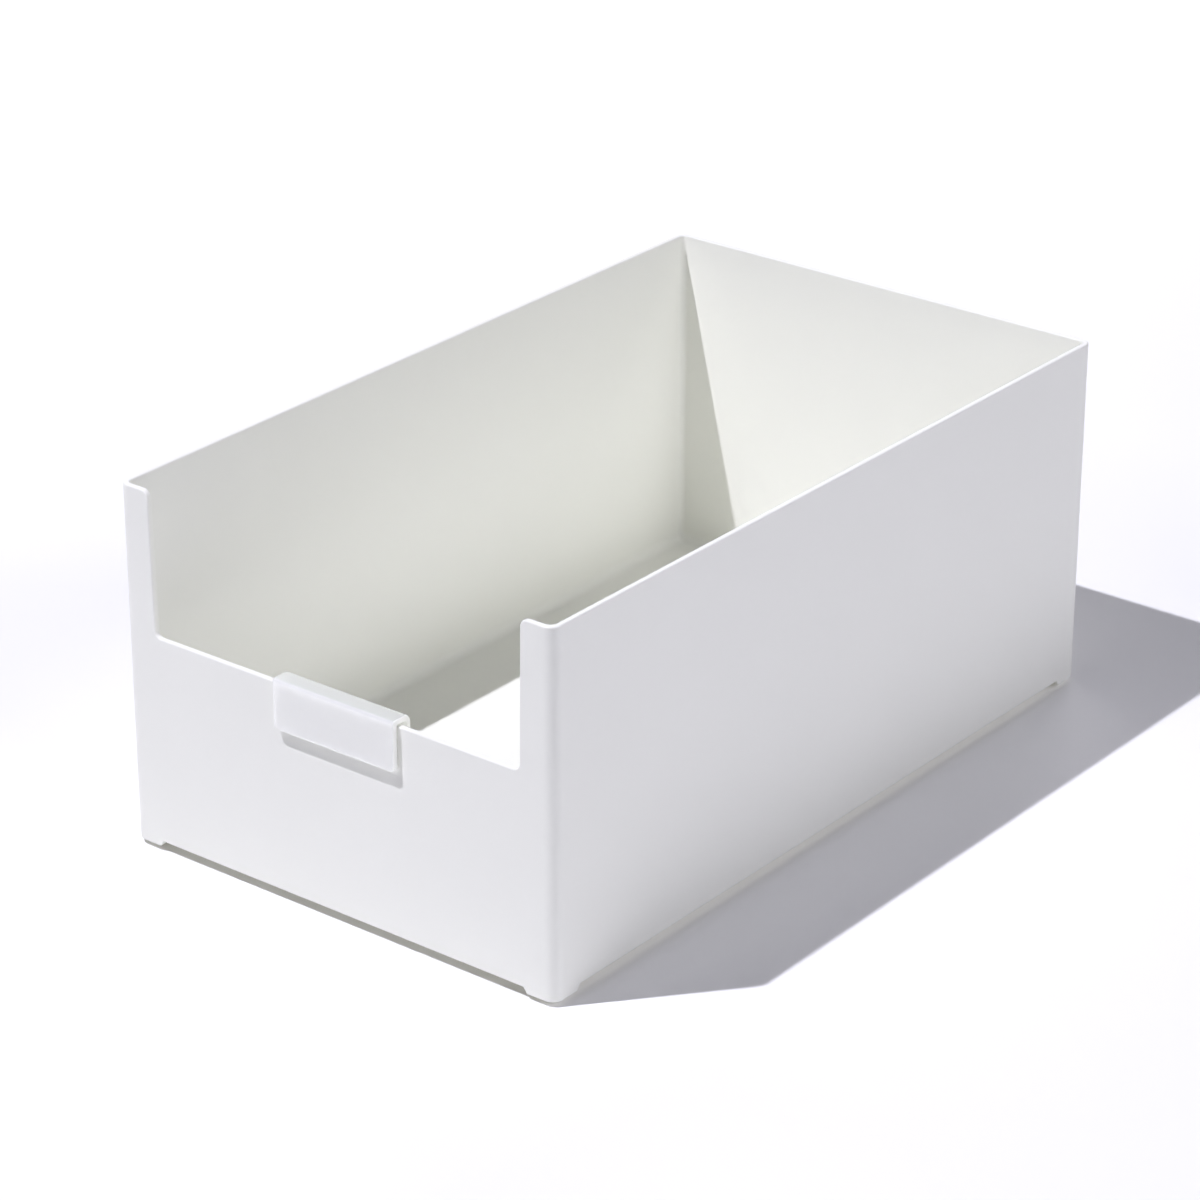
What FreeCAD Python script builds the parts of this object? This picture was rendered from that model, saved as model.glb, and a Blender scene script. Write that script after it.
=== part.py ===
"""Open-front storage box moulded in white polypropylene, with a frosted label clip
hooked over the low front lip.

Frame: +Z up, +Y to the back, origin on the ground under the middle of the box and clip.
All sizes are in millimetres.
"""
import FreeCAD, Part
import math
import os

from FreeCAD import Vector

# Box: overall sizes. Heights are measured from the underside of the corner feet.
body_width = 150.0
body_depth = 250.0
body_height = 107.6
wall = 1.8
corner_radius = 3.5

# Floor
floor_height = 4.55
floor_thickness = 1.8
floor_fillet = 3.0

# Rim and the cut-out in the front wall
lip_height = 64.6
post_width = 10.8
notch_lean = 0.6
notch_floor_radius = 2.0
post_corner_radius = 2.4
rim_fillet = 0.55

# Corner feet, which rest on the rim of the box below, and the raised edge between them
foot_length = 9.5
foot_slope = 1.1
skirt_raise = 1.7
foot_corner_radius = 0.5
base_fillet = 0.3

# Stacking lugs, which drop inside the rim of the box below and touch the ground
lug_drop = 1.5
lug_size = 3.5
lug_clearance = 0.5
lug_lead_in = 0.4
lug_corner_radius = 0.5

# Label clip
clip_width = 42.0
clip_height = 15.0
clip_offset = 1.95
plate_thickness = 1.9
bridge_thickness = 1.8
leg_thickness = 1.5
clip_slot = 3.85
leg_reach = 10.0
leg_upright = 3.5
leg_flare = 0.9
leg_tip_height = 2.0
clip_corner_radius = 1.6
clip_front_radius = 1.0
clip_back_radius = 2.6
clip_slot_radius = 1.2
clip_inner_radius = 0.5
clip_rim_radius = 0.35
leg_bend_radius = 2.0

# Clearances between the clip and the lip that it hooks over
face_gap = 0.1
seat_gap = 0.25
grip_gap = 0.15

# Distance that a cutting shape runs past the material, and the least size that counts
overrun = 5.0
tiny = 1e-3

# Heights above the ground
foot_z = lug_drop
rim_z = foot_z + body_height
lip_z = foot_z + lip_height
floor_z = foot_z + floor_height
floor_middle_z = floor_z - floor_thickness / 2
floor_under_z = floor_z - floor_thickness
skirt_z = foot_z + skirt_raise

# The clip's plate stands proud of the front, so the box is set back by half of that
clip_proud = face_gap + plate_thickness
half_width = body_width / 2
half_depth = body_depth / 2
body_y = clip_proud / 2
front_y = body_y - half_depth


def rounded_outline(corners, place):
    """A face from corner points with a radius each. place turns (u, v) into a Vector."""
    starts = []
    mids = []
    ends = []
    count = len(corners)
    for i, (u, v, radius) in enumerate(corners):
        here = Vector(u, v, 0)
        before = Vector(*corners[i - 1][:2], 0) - here
        after = Vector(*corners[(i + 1) % count][:2], 0) - here
        half_angle = before.getAngle(after) / 2
        before.normalize()
        after.normalize()
        setback = radius / math.tan(half_angle)
        to_centre = radius / math.sin(half_angle)
        middle = before + after
        middle.normalize()
        starts.append(here + before * setback)
        mids.append(here + middle * (to_centre - radius))
        ends.append(here + after * setback)
    edges = []
    for i in range(count):
        if corners[i][2] > 0:
            arc = Part.Arc(*[place(p.x, p.y) for p in (starts[i], mids[i], ends[i])])
            edges.append(arc.toShape())
        leave = place(ends[i].x, ends[i].y)
        arrive = place(starts[(i + 1) % count].x, starts[(i + 1) % count].y)
        if leave.distanceToPoint(arrive) > tiny:
            edges.append(Part.LineSegment(leave, arrive).toShape())
    return Part.Face(Part.Wire(edges))


def rounded_block(inset, low, high):
    """An upright block inside the box's outline, with rounded vertical corners."""
    x = half_width - inset
    y = half_depth - inset
    radius = corner_radius - inset
    corners = [(-x, -y, radius), (x, -y, radius), (x, y, radius), (-x, y, radius)]
    face = rounded_outline(corners, lambda u, v: Vector(u, body_y + v, low))
    return face.extrude(Vector(0, 0, high - low))


def make_cavity():
    """The space inside the box, with a soft corner between the walls and the floor."""
    space = rounded_block(wall, floor_z, rim_z + overrun)
    bottom = [e for e in space.Edges if e.BoundBox.ZMax < floor_z + tiny]
    return space.makeFillet(floor_fillet, bottom)


def make_underside():
    """The shallow recess under the floor, inside the walls."""
    return rounded_block(wall, foot_z - overrun, floor_under_z)


def make_notch():
    """The front cut-out, narrower at the lip than at the rim."""
    top = half_width - post_width
    bottom = top - notch_lean
    side = top + 2 * post_corner_radius
    above = rim_z + overrun
    corners = [(-side, rim_z, 0), (-top, rim_z, post_corner_radius),
               (-bottom, lip_z, notch_floor_radius), (bottom, lip_z, notch_floor_radius),
               (top, rim_z, post_corner_radius), (side, rim_z, 0),
               (side, above, 0), (-side, above, 0)]
    start = front_y - overrun
    face = rounded_outline(corners, lambda u, v: Vector(u, start, v))
    return face.extrude(Vector(0, 2 * overrun + wall, 0))


def make_skirt_cut(half_side, across_y):
    """The relief between two corner feet, cut through both opposite walls at once."""
    foot_end = half_side - foot_length
    top = foot_end - foot_slope
    outside = foot_end + foot_corner_radius
    below = foot_z - overrun
    corners = [(-outside, below, 0), (-outside, foot_z, 0),
               (-foot_end, foot_z, foot_corner_radius), (-top, skirt_z, foot_corner_radius),
               (top, skirt_z, foot_corner_radius), (foot_end, foot_z, foot_corner_radius),
               (outside, foot_z, 0), (outside, below, 0)]
    if across_y:
        start = -half_depth - overrun
        face = rounded_outline(corners, lambda u, v: Vector(u, body_y + start, v))
        return face.extrude(Vector(0, -2 * start, 0))
    start = -half_width - overrun
    face = rounded_outline(corners, lambda u, v: Vector(start, body_y + u, v))
    return face.extrude(Vector(-2 * start, 0, 0))


def corner_block(inset, size, low, high):
    """A square block inside the back right corner, set in from both walls."""
    x = half_width - inset
    y = half_depth - inset
    outer_radius = max(corner_radius - inset, lug_corner_radius)
    corners = [(x, y, outer_radius), (x - size, y, lug_corner_radius),
               (x - size, y - size, lug_corner_radius), (x, y - size, lug_corner_radius)]
    face = rounded_outline(corners, lambda u, v: Vector(u, v, low))
    return face.extrude(Vector(0, 0, high - low))


def make_corner_foot():
    """The stacking lug of one corner, on a root that joins it to the walls and the floor."""
    middle_of_wall = wall / 2
    lug_inset = wall + lug_clearance
    root_size = lug_inset + lug_size - middle_of_wall
    root = corner_block(middle_of_wall, root_size, foot_z, floor_middle_z)
    lug = corner_block(lug_inset, lug_size, 0, floor_middle_z)
    bottom = [e for e in lug.Edges if e.BoundBox.ZMax < tiny]
    return root.fuse(lug.makeChamfer(lug_lead_in, bottom))


def four_corners(shape):
    """The shape and its mirror images in the other three corners."""
    left = shape.mirror(Vector(0, 0, 0), Vector(1, 0, 0))
    back = [shape, left]
    front = [s.mirror(Vector(0, 0, 0), Vector(0, 1, 0)) for s in back]
    shapes = back + front
    for s in shapes:
        s.translate(Vector(0, body_y, 0))
    return shapes


def rim_edges(body):
    """The edges round the top of the walls and round the front cut-out."""
    found = []
    wall_faces = (front_y, front_y + wall)
    notch_side = half_width - post_width + post_corner_radius + tiny
    for edge in body.Edges:
        box = edge.BoundBox
        on_rim = box.ZMin > rim_z - tiny
        across_front_wall = (box.XLength < tiny and box.YLength > wall / 2
                             and box.YMax < front_y + wall + tiny)
        in_notch = box.ZMin > lip_z - tiny and max(-box.XMin, box.XMax) < notch_side
        on_front_wall = box.YLength < tiny and min(abs(box.YMin - y) for y in wall_faces) < tiny
        if on_rim and not across_front_wall:
            found.append(edge)
        elif in_notch and on_front_wall:
            found.append(edge)
    return found


def base_edges(body, block):
    """The outer edges round the foot of the walls, up and down the corner feet."""
    outside = Part.makeShell([f for f in block.Faces if f.BoundBox.ZLength > tiny])
    found = []
    for edge in body.Edges:
        ends = [edge.valueAt(edge.FirstParameter), edge.valueAt(edge.LastParameter)]
        is_low = edge.BoundBox.ZMax < skirt_z + tiny
        if is_low and all(Part.Vertex(p).distToShape(outside)[0] < tiny for p in ends):
            found.append(edge)
    return found


def make_box_body():
    block = rounded_block(0, foot_z, rim_z)
    body = block.cut([make_cavity(), make_underside()])
    body = body.cut([make_skirt_cut(half_width, True), make_skirt_cut(half_depth, False)])
    body = body.cut(make_notch())
    body = body.makeFillet(rim_fillet, rim_edges(body))
    body = body.makeFillet(base_fillet, base_edges(body, block))
    body = body.fuse(four_corners(make_corner_foot()))
    return body.removeSplitter()


def clip_outline(top, bottom):
    """The clip seen from its end: a thick front plate, a bridge over the lip and a sprung
    leg that leans in to the wall and flares out again at its tip."""
    plate_back = front_y - face_gap
    plate_front = plate_back - plate_thickness
    under = top - bridge_thickness
    leg_y = plate_back + clip_slot
    grip_y = front_y + wall + grip_gap
    tip_y = grip_y + leg_flare
    tip_z = lip_z - leg_reach
    grip_z = tip_z + leg_tip_height
    bend_z = under - leg_upright
    back = leg_thickness
    soft = clip_inner_radius
    corners = [(plate_front, bottom, 0), (plate_front, top, clip_front_radius),
               (leg_y + back, top, clip_back_radius), (leg_y + back, bend_z, leg_bend_radius),
               (grip_y + back, grip_z, leg_bend_radius), (tip_y + back, tip_z, soft),
               (tip_y, tip_z, soft), (grip_y, grip_z, leg_bend_radius),
               (leg_y, bend_z, leg_bend_radius), (leg_y, under, clip_slot_radius),
               (plate_back, under, soft), (plate_back, bottom, 0)]
    start = clip_offset - clip_width / 2
    return rounded_outline(corners, lambda u, v: Vector(start, u, v))


def clip_rim_edges(clip, bottom):
    """The front and back edges round the clip's ends and along the bottom of its plate."""
    faces = []
    for face in clip.Faces:
        box = face.BoundBox
        is_end = box.XLength < tiny
        is_plate_bottom = box.ZMin < bottom + tiny and box.YLength > tiny
        if is_end or is_plate_bottom:
            faces.append(face)
    edges = [e for f in faces for e in f.Edges]
    return [e for e in edges if sum(e.isSame(other) for other in edges) == 1]


def make_label_clip():
    top = lip_z + seat_gap + bridge_thickness
    bottom = top - clip_height
    clip = clip_outline(top, bottom).extrude(Vector(clip_width, 0, 0))
    plate_corners = [e for e in clip.Edges
                     if e.BoundBox.ZMax < bottom + tiny and e.BoundBox.XLength < tiny]
    clip = clip.makeFillet(clip_corner_radius, plate_corners)
    return clip.makeFillet(clip_rim_radius, clip_rim_edges(clip, bottom))


def write_step(name, shape):
    shape.exportStep(os.path.join("parts", name + ".step"))


os.makedirs("parts", exist_ok=True)
write_step("box_body", make_box_body())
write_step("label_clip", make_label_clip())
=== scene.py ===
import math

import bpy
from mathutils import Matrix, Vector


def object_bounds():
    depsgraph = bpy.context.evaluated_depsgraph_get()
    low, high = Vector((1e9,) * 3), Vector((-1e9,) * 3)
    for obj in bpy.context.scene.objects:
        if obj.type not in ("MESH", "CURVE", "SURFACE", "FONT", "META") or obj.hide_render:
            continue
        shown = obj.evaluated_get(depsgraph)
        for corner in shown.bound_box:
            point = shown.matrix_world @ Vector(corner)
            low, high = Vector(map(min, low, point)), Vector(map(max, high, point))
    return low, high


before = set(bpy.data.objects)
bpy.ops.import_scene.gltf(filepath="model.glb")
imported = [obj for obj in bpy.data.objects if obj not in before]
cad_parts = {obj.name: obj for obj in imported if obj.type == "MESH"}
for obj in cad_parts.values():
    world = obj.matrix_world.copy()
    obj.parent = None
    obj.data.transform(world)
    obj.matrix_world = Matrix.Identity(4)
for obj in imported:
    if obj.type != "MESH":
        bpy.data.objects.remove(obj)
cad_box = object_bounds()

# Camera, solved on the straight edges of the box in the photograph
CAMERA_PLACE = (0.66492, -0.85205, 0.55197)
CAMERA_TILT_DEG = 65.108
CAMERA_TURN_DEG = 38.303
SENSOR_MM = 36.0
LENS_MM = 125.398

# The key light stands where the shadows in the photograph put it
KEY_PLACE = (-0.4613, -0.7584, 1.7715)

# Round lights: place and diameter in metres, power in watts, colour
LIGHTS = {
    "key": (KEY_PLACE, 0.03, 33.0, (0.985, 0.975, 1.11)),
    "left_fill": ((-1.6, 0.2, 1.0), 0.9, 1.6, (1.0, 1.0, 1.02)),
    "back_left_fill": ((-1.0, 2.3, 1.5), 1.2, 13.0, (1.0, 0.98, 1.08)),
    "right_fill": ((1.4, -0.2, 1.0), 0.9, 7.6, (0.98, 0.965, 1.12)),
    "right_back_fill": ((2.6, 2.2, 1.1), 1.6, 10.0, (1.0, 0.985, 1.08)),
}
SKY_COLOR = (0.88, 0.93, 1.25, 1)
SKY_STRENGTH = 0.03

# Floor of white paper, in metres. Its colour fades to grey between two distances from the
# origin, as painted shade where the light falls off away from the box.
FLOOR_HALF_SIDE = 6.0
FLOOR_COLOR = (0.945, 0.945, 0.93, 1)
FLOOR_FAR_SHADE_COLOR = (0.6, 0.6, 0.6, 1)
FLOOR_SHADE_FADE = (0.3, 0.75)
FLOOR_ROUGHNESS = 0.9
FLOOR_SPECULAR = 0.0

# The floor glows more and more towards the back left, so that it stays white there
FLOOR_GLOW_DIRECTION = (-0.62, 0.785, 0)
FLOOR_GLOW_REACH = (0.12, 0.8)
FLOOR_GLOW = (0.0, 0.77)

# Patterns in the plastics: cells a metre, and octaves of detail
MOTTLE = (22, 3)
GRAIN = (1800, 2)
WAVES = (9, 1)
FROST = (2600, 2)
CLOUD = (120, 3)

# Relief that a pattern gives the surface: depth in metres, and strength
GRAIN_RELIEF = (0.00004, 0.35)
WAVES_RELIEF = (0.0006, 0.12)
FROST_RELIEF = (0.00003, 0.4)

# Refraction of both plastics
PLASTIC_IOR = 1.49

# Box: moulded white polypropylene
BOX_COLOR = (0.94, 0.945, 0.868, 1)
BOX_COLOR_DEEP = (0.92, 0.925, 0.848, 1)
BOX_ROUGHNESS = (0.42, 0.52)

# Painted light: the underside of the box glows, standing in for light that comes down through
# its thin floor. A facing is the span of cosines over which a surface that turns towards a
# direction takes on an effect.
UNDERSIDE_PAINTED_LIGHT_COLOR = (1.0, 0.97, 0.9, 1)
UNDERSIDE_PAINTED_LIGHT = (0.0, 0.1)
UNDERSIDE_PAINTED_LIGHT_FACING = (0.5, 0.95)

# Clip: frosted translucent polypropylene, less white on its top, which is painted shade
CLIP_COLOR = (0.895, 0.9, 0.86, 1)
CLIP_COLOR_DEEP = (0.87, 0.875, 0.835, 1)
CLIP_TOP_SHADE_COLOR = (0.7, 0.725, 0.66, 1)
CLIP_TOP_SHADE_FACING = (0.7, 0.97)
CLIP_ROUGHNESS = (0.36, 0.48)
CLIP_ALPHA = 0.8

# Light scattered inside the clip: weight, reach in metres, and the share of red, green and blue
CLIP_SCATTER = 1.0
CLIP_SCATTER_REACH = 0.005
CLIP_SCATTER_SHARES = (1.0, 1.0, 1.0)

# Painted light: the clip glows faintly all over and most at its ends and lower edge, standing
# in for light carried along inside it
CLIP_PAINTED_GLOW = (0.01, 0.25)
CLIP_PAINTED_GLOW_FACING = (0.2, 0.9)
CLIP_PAINTED_GLOW_DIRECTIONS = ((1, 0, 0), (-1, 0, 0), (0, -0.7, -0.7))

UP = (0, 0, 1)
DOWN = (0, 0, -1)
NONE_TO_ALL = (0, 1)


def new_material(name):
    """A new material, and its tree of nodes with one principled shader."""
    material = bpy.data.materials.new(name)
    material.use_nodes = True
    return material, material.node_tree


def set_shader(tree, linked, even):
    """Links node outputs to the shader's sockets, and sets those that are even all over."""
    shader = tree.nodes["Principled BSDF"]
    for name, output in linked.items():
        tree.links.new(output, shader.inputs[name])
    for name, value in even.items():
        shader.inputs[name].default_value = value


def object_place(tree):
    """The place of each point on the object, in metres."""
    return tree.nodes.new("ShaderNodeTexCoord").outputs["Object"]


def noise(tree, pattern):
    """Noise in real size. pattern is its cells a metre and its octaves of detail."""
    cells, octaves = pattern
    texture = tree.nodes.new("ShaderNodeTexNoise")
    texture.inputs["Scale"].default_value = cells
    texture.inputs["Detail"].default_value = octaves
    tree.links.new(object_place(tree), texture.inputs["Vector"])
    return texture.outputs["Fac"]


def spread(tree, value, span, result):
    """value mapped from span to result, and held at the ends of result beyond span."""
    mapped = tree.nodes.new("ShaderNodeMapRange")
    for name, number in zip(("From Min", "From Max", "To Min", "To Max"), span + result):
        mapped.inputs[name].default_value = number
    tree.links.new(value, mapped.inputs["Value"])
    return mapped.outputs["Result"]


def blend_colors(tree, value, low, high):
    """A colour between low and high, each a colour or a node's output."""
    mix = tree.nodes.new("ShaderNodeMix")
    mix.data_type = "RGBA"
    ends = [socket for socket in mix.inputs if socket.type == "RGBA"]
    for socket, color in zip(ends, (low, high)):
        if isinstance(color, bpy.types.NodeSocket):
            tree.links.new(color, socket)
        else:
            socket.default_value = color
    tree.links.new(value, mix.inputs["Factor"])
    return [socket for socket in mix.outputs if socket.type == "RGBA"][0]


def length(tree, vector):
    """The length of a vector."""
    measure = tree.nodes.new("ShaderNodeVectorMath")
    measure.operation = "LENGTH"
    tree.links.new(vector, measure.inputs[0])
    return measure.outputs["Value"]


def along(tree, vector, direction):
    """How far a vector goes along a direction."""
    product = tree.nodes.new("ShaderNodeVectorMath")
    product.operation = "DOT_PRODUCT"
    product.inputs[1].default_value = direction
    tree.links.new(vector, product.inputs[0])
    return product.outputs["Value"]


def facing(tree, direction, cosines, result):
    """Goes through result as the surface turns towards direction, over a span of cosines."""
    surface = tree.nodes.new("ShaderNodeNewGeometry")
    return spread(tree, along(tree, surface.outputs["Normal"], direction), cosines, result)


def greatest(tree, values):
    """The greatest of a few node outputs."""
    most = values[0]
    for value in values[1:]:
        pick = tree.nodes.new("ShaderNodeMath")
        pick.operation = "MAXIMUM"
        tree.links.new(most, pick.inputs[0])
        tree.links.new(value, pick.inputs[1])
        most = pick.outputs["Value"]
    return most


def bump(tree, height, relief, under=None):
    """The normal of a surface with a relief, its depth and strength, on the relief under it."""
    depth, strength = relief
    surface = tree.nodes.new("ShaderNodeBump")
    surface.inputs["Distance"].default_value = depth
    surface.inputs["Strength"].default_value = strength
    tree.links.new(height, surface.inputs["Height"])
    if under:
        tree.links.new(under, surface.inputs["Normal"])
    return surface.outputs["Normal"]


def box_plastic():
    """Satin white polypropylene with a fine moulded grain, faint flow mottle, and painted light
    glowing from its underside.
    """
    material, tree = new_material("box_plastic")
    mottle = noise(tree, MOTTLE)
    waves = bump(tree, noise(tree, WAVES), WAVES_RELIEF)
    linked = {
        "Base Color": blend_colors(tree, mottle, BOX_COLOR_DEEP, BOX_COLOR),
        "Roughness": spread(tree, mottle, NONE_TO_ALL, BOX_ROUGHNESS),
        "Normal": bump(tree, noise(tree, GRAIN), GRAIN_RELIEF, waves),
        # Painted light: the faces that turn downwards glow
        "Emission Strength": facing(tree, DOWN, UNDERSIDE_PAINTED_LIGHT_FACING, UNDERSIDE_PAINTED_LIGHT),
    }
    even = {
        "Emission Color": UNDERSIDE_PAINTED_LIGHT_COLOR,
        "IOR": PLASTIC_IOR,
    }
    set_shader(tree, linked, even)
    return material


def clip_plastic():
    """Frosted translucent polypropylene with a faint cloudiness, painted shade on its top, and
    a painted glow strongest at its ends and lower edge.
    """
    material, tree = new_material("clip_plastic")
    frost = noise(tree, FROST)
    cloudy = blend_colors(tree, noise(tree, CLOUD), CLIP_COLOR_DEEP, CLIP_COLOR)
    # Painted shade on the faces that turn upwards
    top = facing(tree, UP, CLIP_TOP_SHADE_FACING, NONE_TO_ALL)
    # Painted light glowing from the ends and lower edge
    glows = [facing(tree, d, CLIP_PAINTED_GLOW_FACING, CLIP_PAINTED_GLOW) for d in CLIP_PAINTED_GLOW_DIRECTIONS]
    linked = {
        "Base Color": blend_colors(tree, top, cloudy, CLIP_TOP_SHADE_COLOR),
        "Roughness": spread(tree, frost, NONE_TO_ALL, CLIP_ROUGHNESS),
        "Normal": bump(tree, frost, FROST_RELIEF),
        "Emission Strength": greatest(tree, glows),
    }
    even = {
        "Subsurface Weight": CLIP_SCATTER,
        "Subsurface Radius": CLIP_SCATTER_SHARES,
        "Subsurface Scale": CLIP_SCATTER_REACH,
        "Alpha": CLIP_ALPHA,
        "Emission Color": CLIP_COLOR,
        "IOR": PLASTIC_IOR,
    }
    set_shader(tree, linked, even)
    return material


def floor_paper():
    """White paper round the box, which turns pale grey farther out as painted shade."""
    material, tree = new_material("floor_paper")
    place = object_place(tree)
    # Painted shade: the floor turns grey farther out
    far = spread(tree, length(tree, place), FLOOR_SHADE_FADE, NONE_TO_ALL)
    away = along(tree, place, FLOOR_GLOW_DIRECTION)
    linked = {
        "Base Color": blend_colors(tree, far, FLOOR_COLOR, FLOOR_FAR_SHADE_COLOR),
        "Emission Strength": spread(tree, away, FLOOR_GLOW_REACH, FLOOR_GLOW),
    }
    even = {
        "Emission Color": FLOOR_COLOR,
        "Roughness": FLOOR_ROUGHNESS,
        "Specular IOR Level": FLOOR_SPECULAR,
    }
    set_shader(tree, linked, even)
    return material


def paint(node, material):
    """Gives a CAD node its material."""
    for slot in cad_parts[node].material_slots:
        slot.material = material


def make_floor():
    """The level square of paper that the box stands on."""
    half = FLOOR_HALF_SIDE
    corners = [(-half, -half, 0), (half, -half, 0), (half, half, 0), (-half, half, 0)]
    mesh = bpy.data.meshes.new("studio_floor")
    mesh.from_pydata(corners, [], [(0, 1, 2, 3)])
    mesh.materials.append(floor_paper())
    floor = bpy.data.objects.new("studio_floor", mesh)
    bpy.context.collection.objects.link(floor)


def make_light(name, target, place, diameter, power, color):
    """A round light at place that shines at target."""
    data = bpy.data.lights.new(name, "AREA")
    data.shape = "DISK"
    data.size = diameter
    data.energy = power
    data.color = color
    light = bpy.data.objects.new(name, data)
    light.location = place
    light.rotation_euler = (target - Vector(place)).to_track_quat("-Z", "Y").to_euler()
    bpy.context.collection.objects.link(light)


def make_sky():
    """Faint even light from all round."""
    world = bpy.data.worlds.new("studio_sky")
    bpy.context.scene.world = world
    world.use_nodes = True
    sky = world.node_tree.nodes["Background"]
    sky.inputs["Color"].default_value = SKY_COLOR
    sky.inputs["Strength"].default_value = SKY_STRENGTH


def make_camera():
    """The camera that took the photograph."""
    data = bpy.data.cameras.new("camera")
    data.sensor_width = SENSOR_MM
    data.lens = LENS_MM
    camera = bpy.data.objects.new("camera", data)
    camera.location = CAMERA_PLACE
    camera.rotation_euler = (math.radians(CAMERA_TILT_DEG), 0, math.radians(CAMERA_TURN_DEG))
    bpy.context.collection.objects.link(camera)
    bpy.context.scene.camera = camera


make_camera()
middle = (cad_box[0] + cad_box[1]) / 2
for name, settings in LIGHTS.items():
    make_light(name, middle, *settings)
make_sky()
make_floor()
paint("box_body", box_plastic())
paint("label_clip", clip_plastic())
bpy.context.scene.view_settings.view_transform = "Standard"
